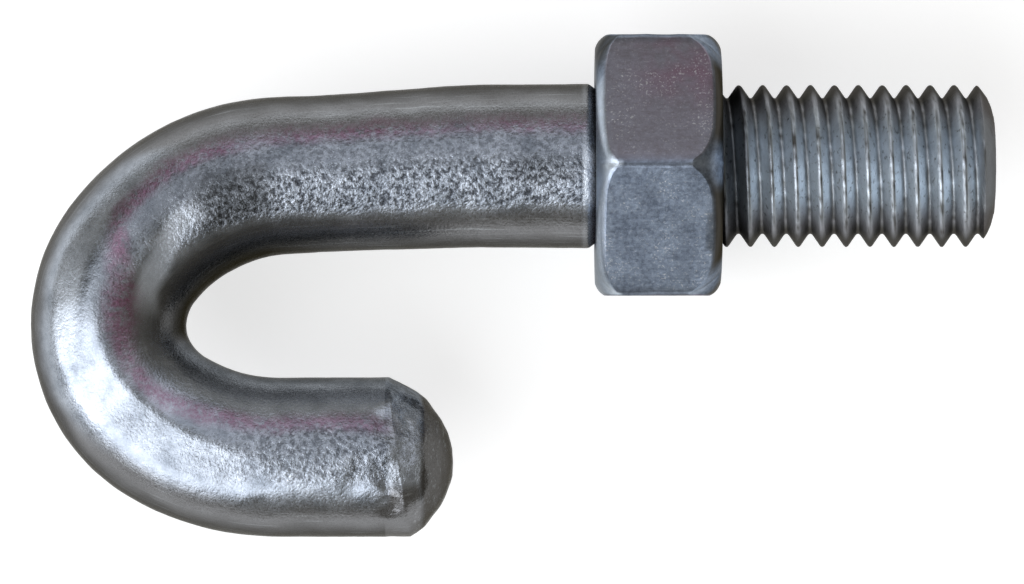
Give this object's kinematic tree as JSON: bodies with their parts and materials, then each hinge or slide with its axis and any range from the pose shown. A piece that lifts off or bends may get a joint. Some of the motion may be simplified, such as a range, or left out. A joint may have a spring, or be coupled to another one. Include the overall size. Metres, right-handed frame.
{
  "type": "screw hook",
  "caption": "Round steel bar bent to a U-shaped hook at one end, with a threaded stud and a hex nut at the other.",
  "frame": {"origin": "on the thread's axis, where the nut's inner face stands against the shank", "axes": "+X along the thread to the stud's end, +Y from the hook's open end to the shank, +Z out of the hook's plane"},
  "size_m": [0.0706, 0.0367, 0.022],
  "materials": {
    "hook_steel": "zinc-coated, worn",
    "nut_steel": "zinc-coated"
  },
  "bodies": {
    "hook": {"hook_bolt": "hook_steel"},
    "nut": {"hex_nut": "nut_steel"}
  },
  "joints": [
    {"name": "nut_travel", "type": "slide", "parent": "hook", "child": "nut", "axis": [1, 0, 0], "range_m": [0, 0.021]}
  ]
}
